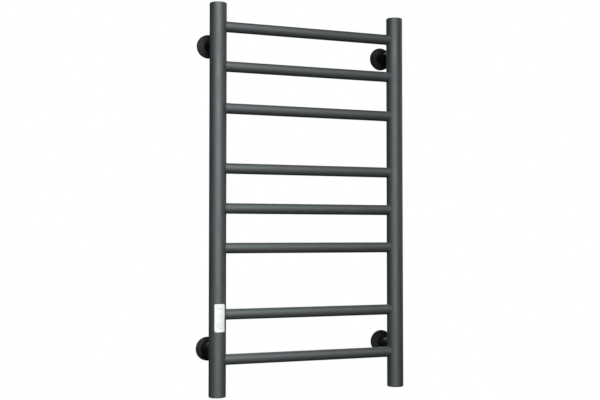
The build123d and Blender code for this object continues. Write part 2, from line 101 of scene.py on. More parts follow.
POST_X = {side: middle(f"{side}_post").x for side in ("left", "right")}
POST_Y = middle("left_post_top_cap").y
POST_R = size("left_post_top_cap").x / 2
POST_LOW, POST_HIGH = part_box("left_post")[0].z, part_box("left_post")[1].z
LADDER_LOW, LADDER_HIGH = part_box("left_post_foot_cap")[0].z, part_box("left_post_top_cap")[1].z
RUNG_Z = [middle(rung).z for rung in RUNGS]
RUNG_R = size("rung_1").z / 2
RUNG_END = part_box("rung_1")[1].x
PANEL = middle("control_panel")
PANEL_SIZE = size("control_panel")
PANEL_R = POST_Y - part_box("control_panel")[0].y
KEY_R = POST_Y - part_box("timer_key")[0].y
KEY_Z = {name: middle(f"{name}_key").z for name in ("timer", "power")}
KEY_LIP = 1.0 * MM  # how far a key's flange reaches past its crown
KEY_CROWN_R = size("timer_key").x / 2 - KEY_LIP


LENGTH = {"subtype": "DISTANCE", "unit": "LENGTH", "precision": 5}
COLOUR = {"subtype": "COLOR", "size": 3, "min": 0, "max": 1}
SHARE = {"subtype": "FACTOR", "min": 0, "max": 1}
POWER = {"unit": "POWER", "min": 0}


class TubeSizes(bpy.types.PropertyGroup):
    post_wall: FloatProperty(
        name="Post wall", description="Wall of the two posts",
        default=1.5 * MM, **LENGTH,
    )
    rung_wall: FloatProperty(
        name="Rung wall", description="Wall of the rungs",
        default=1.2 * MM, **LENGTH,
    )
    weld: FloatProperty(
        name="Weld bead", description="Radius of the bead where two tubes are welded",
        default=1.0 * MM, **LENGTH,
    )
    cap_edge: FloatProperty(
        name="Cap edge", description="Radius of the rounded edge of a post's end",
        default=2.2 * MM, **LENGTH,
    )
    cap_crown: FloatProperty(
        name="Cap crown", description="How far a cap's middle stands above its rounded edge",
        default=0.6 * MM, **LENGTH,
    )
    sides: IntProperty(
        name="Sides", description="Faces round a tube", default=96, min=24, max=192,
    )


class PanelSizes(bpy.types.PropertyGroup):
    thickness: FloatProperty(
        name="Thickness", description="Thickness of the panel",
        default=2.5 * MM, **LENGTH,
    )
    corner: FloatProperty(
        name="Corner", description="Radius of the panel's corners",
        default=2.5 * MM, **LENGTH,
    )
    edge: FloatProperty(
        name="Edge", description="Radius of the panel's rounded edges",
        default=0.35 * MM, **LENGTH,
    )
    key_gap: FloatProperty(
        name="Key gap", description="Gap round each key",
        default=0.2 * MM, **LENGTH,
    )
    print_margin: FloatProperty(
        name="Print margin", description="Plain border round the printed field",
        default=2.4 * MM, **LENGTH,
    )
    ink: FloatProperty(
        name="Ink", description="Thickness of the printed marks",
        default=0.03 * MM, **LENGTH,
    )


class Finish(bpy.types.PropertyGroup):
    coat: FloatVectorProperty(
        name="Powder coat", description="Colour of the powder coat",
        default=(0.0108, 0.0123, 0.0133), **COLOUR,
    )
    # The brackets' coat is darker than the ladder's. Part of this is a darker finish and part is
    # painted shade: the dim light near the wall is put into the coat's colour.
    bracket_coat: FloatVectorProperty(
        name="Bracket coat", description="Colour of the darker coat on the standoffs and rosettes",
        default=(0.0050, 0.0058, 0.0064), **COLOUR,
    )
    coat_roughness: FloatProperty(
        name="Coat roughness", description="Roughness of the powder coat",
        default=0.66, **SHARE,
    )
    coat_gloss: FloatProperty(
        name="Coat gloss", description="Strength of the coat's reflection. Plain paint has 0.5",
        default=1.0, **SHARE,
    )
    coat_index: FloatProperty(
        name="Coat index", description="Refractive index of the coat",
        default=1.72, min=1, max=3,
    )
    bracket_gloss: FloatProperty(
        name="Bracket gloss", description="Strength of the reflection of the brackets' coat",
        default=0.17, **SHARE,
    )
    coat_tint: FloatVectorProperty(
        name="Coat tint", description="Colour of the coat's reflection",
        default=(0.935, 0.985, 1.0), **COLOUR,
    )
    coat_grain: FloatProperty(
        name="Coat grain", description="Size of the grain in the powder coat",
        default=0.45 * MM, **LENGTH,
    )
    panel: FloatVectorProperty(
        name="Panel", description="Colour of the control panel",
        default=(0.86, 0.858, 0.855), **COLOUR,
    )
    print_field: FloatVectorProperty(
        name="Printed field", description="Colour of the printed field on the panel",
        default=(0.80, 0.798, 0.795), **COLOUR,
    )
    mark: FloatVectorProperty(
        name="Marks", description="Colour of the marks on the keys",
        default=(0.50, 0.51, 0.52), **COLOUR,
    )


class StageSettings(bpy.types.PropertyGroup):
    camera_place: FloatVectorProperty(
        name="Camera", description="Where the camera stands",
        default=(-0.9512, -2.3404, -0.0932), subtype="TRANSLATION", unit="LENGTH", size=3,
    )
    camera_turn: FloatProperty(
        name="Turn", description="Camera's turn towards the right",
        default=radians(22.30), subtype="ANGLE", unit="ROTATION",
    )
    camera_rise: FloatProperty(
        name="Rise", description="Camera's tilt upwards",
        default=radians(2.02), subtype="ANGLE", unit="ROTATION",
    )
    lens: FloatProperty(
        name="Lens", description="Focal length on a 36 mm sensor, in millimetres",
        default=61.36, min=10, max=300,
    )
    floor_drop: FloatProperty(
        name="Floor", description="How far the floor lies below the feet of the posts",
        default=0.45, **LENGTH,
    )
    key_light: FloatProperty(
        name="Key light", description="Power of the tall front light", default=20.0, **POWER,
    )
    fill_light: FloatProperty(
        name="Fill light", description="Power of the low light at the left", default=3.2, **POWER,
    )
    top_light: FloatProperty(
        name="Top light", description="Power of the light above", default=1.2, **POWER,
    )
    back_light: FloatProperty(
        name="Back light", description="Power of the light behind the wall", default=18.0, **POWER,
    )
    side_light: FloatProperty(
        name="Side light", description="Power of the light at the right", default=4.0, **POWER,
    )
    room: FloatProperty(
        name="Room", description="Brightness of the room round the object", default=0.012, min=0,
    )


# ---- Nodes ----
def add(tree, kind, inputs=None, **settings):
    """A new node with its settings, whose inputs are linked from a socket or take a value."""
    node = tree.nodes.new(kind)
    for name, value in settings.items():
        setattr(node, name, value)
    for socket, value in (inputs or {}).items():
        if isinstance(value, bpy.types.NodeSocket):
            tree.links.new(value, node.inputs[socket])
        else:
            node.inputs[socket].default_value = value
    return node


def math_node(tree, operation, *values):
    return add(tree, "ShaderNodeMath", dict(enumerate(values)), operation=operation).outputs[0]


# ---- Materials ----
def new_material(name, colour, roughness, metallic=0.0, **sockets):
    """A material, its node tree and its shader. Constants go on the shader's own sockets."""
    material = bpy.data.materials.new(name)
    material.use_nodes = True
    tree = material.node_tree
    shader = tree.nodes["Principled BSDF"]
    shader.inputs["Base Color"].default_value = (*colour, 1)
    shader.inputs["Roughness"].default_value = roughness
    shader.inputs["Metallic"].default_value = metallic
    for socket, value in sockets.items():
        shader.inputs[socket.replace("_", " ")].default_value = value
    return material, tree, shader


def noise(tree, feature, detail=2.0, stretch=(1, 1, 1)):
    """Noise whose features are about this long, in metres, on Object coordinates."""
    place = add(tree, "ShaderNodeTexCoord")
    mapping = add(tree, "ShaderNodeMapping", {
        "Vector": place.outputs["Object"], "Scale": [s / feature for s in stretch]})
    texture = add(tree, "ShaderNodeTexNoise", {
        "Vector": mapping.outputs["Vector"], "Scale": 1.0, "Detail": detail})
    return texture.outputs["Fac"]


def ramp(tree, factor, low, high):
    """A colour ramp from low to high over the middle of the factor."""
    node = add(tree, "ShaderNodeValToRGB", {"Fac": factor})
    for element, place, value in zip(node.color_ramp.elements, (0.35, 0.65), (low, high)):
        element.position = place
        element.color = (*value, 1)
    return node.outputs["Color"]


def spread(tree, factor, low, high):
    """The middle of the factor, stretched to run from low to high."""
    node = add(tree, "ShaderNodeMapRange", {
        "Value": factor, "From Min": 0.3, "From Max": 0.7, "To Min": low, "To Max": high})
    return node.outputs["Result"]


def shade(colour, factor):
    return tuple(min(1.0, channel * factor) for channel in colour)


def bump(tree, shader, layers):
    """Bumps laid over each other: (height, feature's depth in metres, strength) for each."""
    normal = None
    for height, depth, strength in layers:
        node = add(tree, "ShaderNodeBump", {
            "Height": height, "Distance": depth, "Strength": strength})
        if normal:
            tree.links.new(normal, node.inputs["Normal"])
        normal = node.outputs["Normal"]
    tree.links.new(normal, shader.inputs["Normal"])


def powder_coat(name, finish, colour, gloss):
    """Textured powder coat: grain, a slight orange peel, cloudy tone and rubbed edges."""
    material, tree, shader = new_material(
        name, colour, finish.coat_roughness, Specular_IOR_Level=gloss, IOR=finish.coat_index,
        Specular_Tint=(*finish.coat_tint, 1),
    )
    cloud = noise(tree, 60 * MM, 3.0)
    grain = noise(tree, finish.coat_grain, 2.0)
    peel = noise(tree, 5 * finish.coat_grain, 1.0)
    tone = ramp(tree, cloud, shade(colour, 0.93), shade(colour, 1.07))
    fleck = ramp(tree, grain, shade(colour, 0.82), shade(colour, 1.22))
    blend = add(tree, "ShaderNodeMix", {"Factor": 0.5, "A": tone, "B": fleck}, data_type="RGBA")
    edge = add(tree, "ShaderNodeAttribute", attribute_name="wear")
    patches = spread(tree, noise(tree, 4 * MM), 0.1, 0.9)
    rubbed = math_node(tree, "MULTIPLY", edge.outputs["Fac"], patches)
    worn = add(tree, "ShaderNodeMix", {
        "Factor": rubbed, "A": blend.outputs["Result"], "B": (*shade(colour, 2.1), 1),
    }, data_type="RGBA")
    tree.links.new(worn.outputs["Result"], shader.inputs["Base Color"])
    rough = spread(tree, cloud, finish.coat_roughness - 0.04, finish.coat_roughness + 0.05)
    tree.links.new(rough, shader.inputs["Roughness"])
    bump(tree, shader, [(peel, 0.08 * MM, 0.5), (grain, 0.10 * MM, 1.0)])
    return material


def moulded(name, colour, roughness, grain=0.25 * MM, depth=0.01 * MM, **sockets):
    """Moulded plastic or rubber: a fine spark-eroded grain and an uneven gloss."""
    material, tree, shader = new_material(name, colour, roughness, **sockets)
    fine = noise(tree, grain)
    cloud = noise(tree, 12 * MM)
    tone = ramp(tree, cloud, shade(colour, 0.96), shade(colour, 1.03))
    tree.links.new(tone, shader.inputs["Base Color"])
    rough = spread(tree, cloud, roughness * 0.85, roughness * 1.15)
    tree.links.new(rough, shader.inputs["Roughness"])
    bump(tree, shader, [(fine, depth, 0.5)])
    return material


def plated(name, colour, roughness):
    """Plated or turned metal with fine marks across the wall's direction."""
    material, tree, shader = new_material(name, colour, roughness, metallic=1.0)
    marks = noise(tree, 0.8 * MM, 3.0, stretch=(1, 0.08, 1))
    tone = ramp(tree, noise(tree, 9 * MM), shade(colour, 0.85), shade(colour, 1.05))
    tree.links.new(tone, shader.inputs["Base Color"])
    rough = spread(tree, marks, roughness * 0.75, roughness * 1.3)
    tree.links.new(rough, shader.inputs["Roughness"])
    bump(tree, shader, [(marks, 0.01 * MM, 0.3)])
    return material


def by_camera_ray(tree, seen, other, out):
    """Gives the camera one shader and every other ray another, for the stage alone."""
    path = add(tree, "ShaderNodeLightPath")
    choose = add(tree, "ShaderNodeMixShader", {
        "Fac": path.outputs["Is Camera Ray"], 1: other, 2: seen})
    tree.links.new(choose.outputs["Shader"], out)


def stage_white(name, lit):
    """A floor that shows as the same even white as the ground behind it, and bounces little."""
    material = bpy.data.materials.new(name)
    material.use_nodes = True
    tree = material.node_tree
    tree.nodes.remove(tree.nodes["Principled BSDF"])
    diffuse = add(tree, "ShaderNodeBsdfDiffuse", {"Color": (lit, lit, lit, 1)})
    glow = add(tree, "ShaderNodeEmission")
    out = tree.nodes["Material Output"].inputs["Surface"]
    by_camera_ray(tree, glow.outputs["Emission"], diffuse.outputs["BSDF"], out)
    return material


MATERIALS = {}


class TOWELWARMER_OT_materials(bpy.types.Operator):
    """Make every finish, and give each carried-over piece the one that its material slot names"""

    bl_idname = "towel_warmer.materials"
    bl_label = "Make the finishes"

    def execute(self, context):
        finish = context.scene.towel_warmer_finish
        MATERIALS.update({
            "powder_coat": powder_coat(
                "anthracite_powder_coat", finish, finish.coat, finish.coat_gloss),
            # A darker copy of the ladder's powder coat. Its darkness is partly a darker finish and
            # partly painted shade, the shade near the wall put into the colour of the standoffs and
            # rosettes.
            "bracket_coat": powder_coat(
                "dark_coat_with_painted_shade", finish, finish.bracket_coat, finish.bracket_gloss),
            "white_plastic": moulded(
                "white_panel", finish.panel, 0.32, Coat_Weight=0.2, Coat_Roughness=0.2),
            "key_plastic": moulded("white_key", finish.print_field, 0.42),
            "print_field": moulded("printed_field", finish.print_field, 0.45, grain=0.4 * MM),
            "mark": moulded("printed_mark", finish.mark, 0.5, grain=0.4 * MM),
            "zinc_steel": plated("zinc_plated_steel", (0.56, 0.57, 0.58), 0.34),
            "black_steel": plated("black_oxide_steel", (0.05, 0.05, 0.055), 0.4),
            "brass": plated("plain_brass", (0.62, 0.45, 0.2), 0.3),
            "black_rubber": moulded("black_rubber", (0.018, 0.018, 0.019), 0.7, depth=0.02 * MM),
            "cable_jacket": moulded("silicone_jacket", (0.32, 0.06, 0.04), 0.55),
            "black_plastic": moulded("black_moulding", (0.025, 0.025, 0.028), 0.5),
            "board": moulded("solder_mask", (0.02, 0.16, 0.07), 0.35, grain=0.8 * MM),
            "terminal_plastic": moulded("grey_moulding", (0.6, 0.6, 0.57), 0.45),
            "capacitor": moulded("yellow_moulding", (0.55, 0.4, 0.06), 0.4),
            "ceramic": moulded("ceramic_tube", (0.7, 0.67, 0.58), 0.5),
            "lamp": moulded("lamp_lens", (0.8, 0.72, 0.4), 0.2),
            "clear_plastic": moulded("frosted_pipe", (0.42, 0.45, 0.48), 0.25, Coat_Weight=0.5),
        })
        slots = {part["node"]: part["material_slot"] for part in frame["record"]["subparts"]}
        for name, node in frame["nodes"].items():
            node.data.materials.clear()
            node.data.materials.append(MATERIALS[slots[name]])
        return {"FINISHED"}


# ---- Meshes ----
def piece(name, mesh, body, slot, replaced=(), finish=None):
    """A finished piece at the origin, on its body, in its material slot."""
    item = bpy.data.objects.new(name, mesh)
    bpy.context.scene.collection.objects.link(item)
    mesh.materials.clear()
    mesh.materials.append(MATERIALS[finish or slot])
    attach(item, body)
    if replaced:
        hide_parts(*replaced)
    return item


def to_mesh(name, bm, sharp=radians(32)):
    """The bmesh as a mesh with smooth faces and sharp edges past an angle."""
    bmesh.ops.remove_doubles(bm, verts=bm.verts, dist=0.002 * MM)
    bmesh.ops.recalc_face_normals(bm, faces=bm.faces)
    for face in bm.faces:
        face.smooth = True
    for edge in bm.edges:
        edge.smooth = len(edge.link_faces) == 2 and edge.calc_face_angle(0) < sharp
    mesh = bpy.data.meshes.new(name)
    bm.to_mesh(mesh)
    bm.free()
    return mesh


def ring_outline(radius, centre=(0, 0), steps=64):
    """Points round a circle, anticlockwise."""
    angles = [2 * pi * k / steps for k in range(steps)]
    return [(centre[0] + radius * cos(a), centre[1] + radius * sin(a)) for a in angles]


def bridge(bm, lower, upper):
    """Faces between two rings of points. Where one ring is a pole, they are triangles."""
    for k in range(len(lower)):
        following = (k + 1) % len(lower)
        ring = [lower[k], lower[following], upper[following], upper[k]]
        corners = list(dict.fromkeys(ring))
        if len(corners) > 2:
            bm.faces.new(corners)


def turned_surface(bm, profile, sides, place=Matrix.Identity(4)):
    """A closed shape turned about Z from (radius, z) corners. A radius of 0 is one pole."""
    rings = []
    for radius, z in profile:
        if radius == 0:
            rings.append([bm.verts.new(place @ Vector((0, 0, z)))] * sides)
            continue
        corners = ring_outline(radius, steps=sides)
        rings.append([bm.verts.new(place @ Vector((x, y, z))) for x, y in corners])
    for lower, upper in zip(rings, rings[1:] + rings[:1]):
        bridge(bm, lower, upper)


def arc(centre, radius, start, end, steps):
    """Points (radius, z) along an arc between two angles, both ends included."""
    angles = [start + (end - start) * k / steps for k in range(steps + 1)]
    return [(centre[0] + radius * cos(a), centre[1] + radius * sin(a)) for a in angles]


def mark_wear(mesh, amount):
    """Stores how rubbed each point is, from 0 to 1, for the powder coat to read."""
    wear = mesh.attributes.new("wear", "FLOAT", "POINT")
    wear.data.foreach_set("value", [amount(point.co) for point in mesh.vertices])


def radial_normals(mesh, axis_x, radius, tolerance=0.3 * MM):
    """Exact normals on the faces that lie on a post's surface, so that cuts leave no dents."""
    outward = [Vector((v.co.x - axis_x, v.co.y - POST_Y, 0)) for v in mesh.vertices]
    normals = [None] * len(mesh.loops)
    for face in mesh.polygons:
        on_surface = all(abs(outward[i].length - radius) < tolerance for i in face.vertices)
        upright = abs(face.normal.z) < 0.2
        for loop in face.loop_indices:
            out = outward[mesh.loops[loop].vertex_index].normalized()
            if on_surface and upright and out.dot(face.normal) > 0.6:
                normals[loop] = tuple(out)
            else:
                normals[loop] = tuple(mesh.corner_normals[loop].vector)
    mesh.normals_split_custom_set(normals)


def evaluated_mesh(item):
    """The object's mesh with its modifiers applied, as a new mesh."""
    bpy.context.view_layer.update()
    graph = bpy.context.evaluated_depsgraph_get()
    return bpy.data.meshes.new_from_object(item.evaluated_get(graph))


def cut(target, cutters):
    """The target mesh less the cutters' closed shapes, as a new mesh."""
    body = bpy.data.objects.new("target", target)
    tool = bpy.data.objects.new("tool", cutters)
    for item in (body, tool):
        bpy.context.scene.collection.objects.link(item)
    boolean = body.modifiers.new("cut", "BOOLEAN")
    boolean.operation = "DIFFERENCE"
    boolean.solver = "EXACT"
    boolean.use_self = True
    boolean.object = tool
    result = evaluated_mesh(body)
    for item in (body, tool):
        bpy.data.objects.remove(item)
    return result


def along(axis, place):
    """A transform that turns +Z to the axis and moves the origin to the place."""
    turn = Vector((0, 0, 1)).rotation_difference(Vector(axis))
    return Matrix.Translation(place) @ turn.to_matrix().to_4x4()


def drill(bm, radius, depth, sides, axis, place):
    """Adds a closed cylinder that runs along the axis from the place, to cut a hole with."""
    profile = [(0, 0), (radius, 0), (radius, depth), (0, depth)]
    turned_surface(bm, profile, sides, along(axis, place))


# ---- Geometry Nodes trees ----
def new_tree(name, inputs):
    """A Geometry Nodes tree with named size inputs, and its group input and output nodes."""
    tree = bpy.data.node_groups.new(name, "GeometryNodeTree")
    tree.interface.new_socket("Geometry", in_out="INPUT", socket_type="NodeSocketGeometry")
    for label, kind, default in inputs:
        socket = tree.interface.new_socket(label, in_out="INPUT", socket_type=kind)
        if default is not None:
            socket.default_value = default
    tree.interface.new_socket("Geometry", in_out="OUTPUT", socket_type="NodeSocketGeometry")
    return tree, tree.nodes.new("NodeGroupInput"), tree.nodes.new("NodeGroupOutput")


def finish_tree(tree, geometry, group_in, group_out):
    """Ends a tree in Realize Instances and Set Material."""
    smooth = add(tree, "GeometryNodeSetShadeSmooth", {"Geometry": geometry})
    realize = add(tree, "GeometryNodeRealizeInstances", {"Geometry": smooth.outputs["Geometry"]})
    paint = add(tree, "GeometryNodeSetMaterial", {
        "Geometry": realize.outputs["Geometry"], "Material": group_in.outputs["Material"]})
    tree.links.new(paint.outputs["Geometry"], group_out.inputs["Geometry"])


def run_tree(name, source, tree, values):
    """The tree's result on a source mesh, as a plain mesh. Inputs are set by their identifiers."""
    holder = bpy.data.objects.new(name, source)
    bpy.context.scene.collection.objects.link(holder)
    modifier = holder.modifiers.new(tree.name, "NODES")
    modifier.node_group = tree
    for socket in tree.interface.items_tree:
        if socket.item_type == "SOCKET" and socket.in_out == "INPUT" and socket.name in values:
            modifier[socket.identifier] = values[socket.name]
    result = evaluated_mesh(holder)
    holder.modifiers.remove(modifier)
    bpy.data.objects.remove(holder)
    result.name = name
    return result


def points_mesh(name, places):
    mesh = bpy.data.meshes.new(name)
    mesh.from_pydata(places, [], [])
    return mesh


BEAD_SIDES = 12
BEAD_STEPS = 120
RIPPLE = 0.12 * MM
RIPPLE_LENGTH = 2.5 * MM
RIPPLE_SEED = 4.0


def weld_tree():
    """Beads that follow the line where a branch tube meets a post, one at each point of the source.

    Round the branch the line is (branch cos t, branch sin t), and it stands off the post's axis by
    the height of the post's surface there. Instances are turned by each point's "turn"."""
    tree, group_in, group_out = new_tree("Weld beads", [
        ("Post Radius", "NodeSocketFloat", POST_R), ("Branch Radius", "NodeSocketFloat", RUNG_R),
        ("Bead Radius", "NodeSocketFloat", MM), ("Ripple", "NodeSocketFloat", RIPPLE),
        ("Seed", "NodeSocketFloat", RIPPLE_SEED), ("Steps", "NodeSocketInt", BEAD_STEPS),
        ("Material", "NodeSocketMaterial", None),
    ])
    sizes = group_in.outputs
    ring = add(tree, "GeometryNodeCurvePrimitiveCircle", {
        "Resolution": sizes["Steps"], "Radius": sizes["Branch Radius"]})
    place = add(tree, "GeometryNodeInputPosition")
    parts = add(tree, "ShaderNodeSeparateXYZ", {"Vector": place.outputs["Position"]})
    across = math_node(tree, "MULTIPLY", parts.outputs["Y"], parts.outputs["Y"])
    square = math_node(tree, "MULTIPLY", sizes["Post Radius"], sizes["Post Radius"])
    stand = math_node(tree, "SQRT", math_node(tree, "SUBTRACT", square, across))
    route = add(tree, "ShaderNodeCombineXYZ", {
        "X": stand, "Y": parts.outputs["Y"], "Z": parts.outputs["X"]})
    bend = add(tree, "GeometryNodeSetPosition", {
        "Geometry": ring.outputs["Curve"], "Position": route.outputs["Vector"]})
    section = add(tree, "GeometryNodeCurvePrimitiveCircle", {
        "Resolution": BEAD_SIDES, "Radius": sizes["Bead Radius"]})
    tube = add(tree, "GeometryNodeCurveToMesh", {
        "Curve": bend.outputs["Geometry"], "Profile Curve": section.outputs["Curve"]})
    turn = add(tree, "GeometryNodeInputNamedAttribute", {"Name": "turn"}, data_type="FLOAT")
    facing = add(tree, "ShaderNodeCombineXYZ", {"Z": turn.outputs["Attribute"]})
    instance = add(tree, "GeometryNodeInstanceOnPoints", {
        "Points": sizes["Geometry"], "Instance": tube.outputs["Mesh"],
        "Rotation": facing.outputs["Vector"]})
    realize = add(tree, "GeometryNodeRealizeInstances", {"Geometry": instance.outputs["Instances"]})
    grain = add(tree, "ShaderNodeTexNoise", {
        "Scale": 1 / RIPPLE_LENGTH, "W": sizes["Seed"]}, noise_dimensions="4D")
    lift = math_node(tree, "SUBTRACT", grain.outputs["Fac"], 0.5)
    amount = math_node(tree, "MULTIPLY", lift, sizes["Ripple"])
    normal = add(tree, "GeometryNodeInputNormal")
    push = add(tree, "ShaderNodeVectorMath", {
        0: normal.outputs["Normal"], "Scale": amount}, operation="SCALE")
    ripple = add(tree, "GeometryNodeSetPosition", {
        "Geometry": realize.outputs["Geometry"], "Offset": push.outputs["Vector"]})
    finish_tree(tree, ripple.outputs["Geometry"], group_in, group_out)
    return tree


def tube_tree():
    """A straight tube with a real wall, along X through the middle of each point of the source."""
    tree, group_in, group_out = new_tree("Rung tube", [
        ("Radius", "NodeSocketFloat", RUNG_R), ("Wall", "NodeSocketFloat", MM),
        ("Half Length", "NodeSocketFloat", RUNG_END), ("Sides", "NodeSocketInt", 96),
        ("Material", "NodeSocketMaterial", None),
    ])
    sizes = group_in.outputs
    back = math_node(tree, "MULTIPLY", sizes["Half Length"], -1)
    inner = math_node(tree, "SUBTRACT", sizes["Radius"], sizes["Wall"])
    ends = [
        add(tree, "ShaderNodeCombineXYZ", {"X": x}).outputs["Vector"]
        for x in (back, sizes["Half Length"])
    ]
    skins = add(tree, "GeometryNodeJoinGeometry")
    for radius, (start, end) in ((sizes["Radius"], ends), (inner, ends[::-1])):
        line = add(tree, "GeometryNodeCurvePrimitiveLine", {"Start": start, "End": end})
        section = add(tree, "GeometryNodeCurvePrimitiveCircle", {
            "Resolution": sizes["Sides"], "Radius": radius})
        skin = add(tree, "GeometryNodeCurveToMesh", {
            "Curve": line.outputs["Curve"], "Profile Curve": section.outputs["Curve"]})
        tree.links.new(skin.outputs["Mesh"], skins.inputs["Geometry"])
    instance = add(tree, "GeometryNodeInstanceOnPoints", {
        "Points": sizes["Geometry"], "Instance": skins.outputs["Geometry"]})
    finish_tree(tree, instance.outputs["Instances"], group_in, group_out)
    return tree


# ---- Ladder ----
HOLE_SIDES = 96
WIRE_HOLE_SIDES = 64
SLOT_CORNER = 3.0 * MM
GROMMET_LIP = 1.0 * MM


def post_cutters(side):
    """Closed shapes for a post's holes: one for each rung, and on the left the panel and wires."""
    bm = bmesh.new()
    x, depth = POST_X[side], 2 * POST_R
    inward = 1 if side == "left" else -1
    for z in RUNG_Z:
        drill(bm, RUNG_R, depth, HOLE_SIDES, (inward, 0, 0), Vector((x, POST_Y, z)))
    if side == "left":
        slot = size("panel_gasket")
        outline = rounded_outline(slot.x / 2, slot.z / 2, SLOT_CORNER, 10)
        deep, near = (
            [bm.verts.new((x + dx, y, PANEL.z + dz)) for dx, dz in outline]
            for y in (POST_Y, POST_Y - depth)
        )
        bm.faces.new(deep)
        bm.faces.new(near)
        bridge(bm, deep, near)
        wires = middle("wire_grommet")
        radius = size("wire_grommet").x / 2 - GROMMET_LIP
        drill(bm, radius, depth, WIRE_HOLE_SIDES, (0, 1, 0), Vector((wires.x, POST_Y, wires.z)))
    bmesh.ops.remove_doubles(bm, verts=bm.verts, dist=0.001 * MM)
    bmesh.ops.recalc_face_normals(bm, faces=bm.faces)
    mesh = bpy.data.meshes.new("cutters")
    bm.to_mesh(mesh)
    bm.free()
    return mesh


class TOWELWARMER_OT_posts(bpy.types.Operator):
    """Make the two posts, with a hole for every rung, and the slot for the panel"""

    bl_idname = "towel_warmer.posts"
    bl_label = "Make the posts"

    def execute(self, context):
        sizes = context.scene.towel_warmer_tubes
        bore = POST_R - sizes.post_wall
        for side, x in POST_X.items():
            bm = bmesh.new()
            profile = [(POST_R, POST_LOW), (POST_R, POST_HIGH), (bore, POST_HIGH), (bore, POST_LOW)]
            turned_surface(bm, profile, sizes.sides, Matrix.Translation((x, POST_Y, 0)))
            mesh = cut(to_mesh("tube", bm), post_cutters(side))
            bm = bmesh.new()
            bm.from_mesh(mesh)
            mesh = to_mesh(f"{side}_post_tube", bm)
            radial_normals(mesh, x, POST_R)
            mark_wear(mesh, lambda co: 0.0)
            piece(f"{side}_post_tube", mesh, "ladder", "powder_coat", [f"{side}_post"])
        return {"FINISHED"}


class TOWELWARMER_OT_rungs(bpy.types.Operator):
    """Make the rungs as tubes, one piece each"""

    bl_idname = "towel_warmer.rungs"
    bl_label = "Make the rungs"

    def execute(self, context):
        sizes = context.scene.towel_warmer_tubes
        tree = tube_tree()
        for rung, z in zip(RUNGS, RUNG_Z):
            source = points_mesh(f"{rung}_point", [(0, POST_Y, z)])
            mesh = run_tree(f"{rung}_tube", source, tree, {
                "Radius": RUNG_R, "Wall": sizes.rung_wall, "Half Length": RUNG_END,
                "Sides": sizes.sides, "Material": MATERIALS["powder_coat"],
            })
            mesh = saddled(mesh, f"{rung}_tube", POST_R - sizes.post_wall)
            piece(f"{rung}_tube", mesh, "ladder", "powder_coat", [rung])
        return {"FINISHED"}


def saddled(mesh, name, bore):
    """A tube as one closed wall, with its ends cut to the bores of the posts."""
    bm = bmesh.new()
    bm.from_mesh(mesh)
    open_edges = [edge for edge in bm.edges if edge.is_boundary]
    for side in (-1, 1):
        ends = [e for e in open_edges if all(v.co.x * side > 0 for v in e.verts)]
        bmesh.ops.bridge_loops(bm, edges=ends)
    for v in bm.verts:
        reach = POST_X["right"] - sqrt(bore**2 - (v.co.y - POST_Y) ** 2)
        v.co.x = reach if v.co.x > 0 else -reach
    joined = to_mesh(name, bm)
    mark_wear(joined, lambda co: 0.0)
    return joined


class TOWELWARMER_OT_welds(bpy.types.Operator):
    """Make the painted weld beads where rungs and standoffs meet the posts"""

    bl_idname = "towel_warmer.welds"
    bl_label = "Make the weld beads"

    def execute(self, context):
        sizes = context.scene.towel_warmer_tubes
        tree = weld_tree()
        turns = {"left": 0, "right": pi}
        groups = [("rung_welds", RUNG_R, [
            ((x, POST_Y, z), turns[side]) for side, x in POST_X.items() for z in RUNG_Z
        ])]
        for corner in CORNERS:
            radius = size(f"standoff_{corner}").x / 2
            centre = middle(f"standoff_{corner}")
            places = [((centre.x, POST_Y, centre.z), pi / 2)]
            groups.append((f"standoff_weld_{corner}", radius, places))
        for name, radius, places in groups:
            source = points_mesh(f"{name}_points", [place for place, _ in places])
            turn = source.attributes.new("turn", "FLOAT", "POINT")
            turn.data.foreach_set("value", [angle for _, angle in places])
            mesh = run_tree(name, source, tree, {
                "Post Radius": POST_R, "Branch Radius": radius, "Bead Radius": sizes.weld,
                "Ripple": RIPPLE, "Seed": RIPPLE_SEED, "Steps": BEAD_STEPS,
                "Material": MATERIALS["powder_coat"],
            })
            bm = bmesh.new()
            bm.from_mesh(mesh)
            mesh = to_mesh(name, bm)
            mark_wear(mesh, lambda co: 0.25)
            piece(name, mesh, "ladder", "powder_coat")
        return {"FINISHED"}


CAP_CLEARANCE = 0.1 * MM
CAP_WALL = 2.0 * MM


class TOWELWARMER_OT_caps(bpy.types.Operator):
    """Make the four caps: a rounded edge, a slight crown and a hollow plug"""

    bl_idname = "towel_warmer.caps"
    bl_label = "Make the caps"

    def execute(self, context):
        sizes = context.scene.towel_warmer_tubes
        edge, crown = sizes.cap_edge, sizes.cap_crown
        bore = POST_R - sizes.post_wall - CAP_CLEARANCE
        for side, x in POST_X.items():
            for end, seat, tip in (("top", POST_HIGH, LADDER_HIGH), ("foot", POST_LOW, LADDER_LOW)):
                node = f"{side}_post_{end}_cap"
                head = abs(tip - seat)
                plug = size(node).z - head
                shoulder = head - crown - edge
                profile = [(POST_R, 0), (POST_R, shoulder)]
                profile += arc((POST_R - edge, shoulder), edge, 0, pi / 2, 10)[1:]
                flat = POST_R - edge
                rise = [flat * k / 12 for k in range(11, 0, -1)]
                profile += [(r, head - crown * (r / flat) ** 2) for r in rise]
                profile += [(0, head), (0, head - CAP_WALL), (bore - CAP_WALL, head - CAP_WALL)]
                profile += [(bore - CAP_WALL, -plug), (bore, -plug), (bore, 0)]
                up = 1 if end == "top" else -1
                bm = bmesh.new()
                place = along((0, 0, up), Vector((x, POST_Y, seat)))
                turned_surface(bm, profile, sizes.sides, place)
                mesh = to_mesh(f"{node}_shell", bm)
                rim = tip - up * (crown + 0.3 * edge)
                axis = Vector((x, POST_Y))
                mark_wear(mesh, lambda co: max(0.0, 1 - abs(co.z - rim) / (0.8 * edge))
                          if (co.xy - axis).length > POST_R - edge else 0.0)
                piece(f"{node}_shell", mesh, "ladder", "powder_coat", [node])
        return {"FINISHED"}


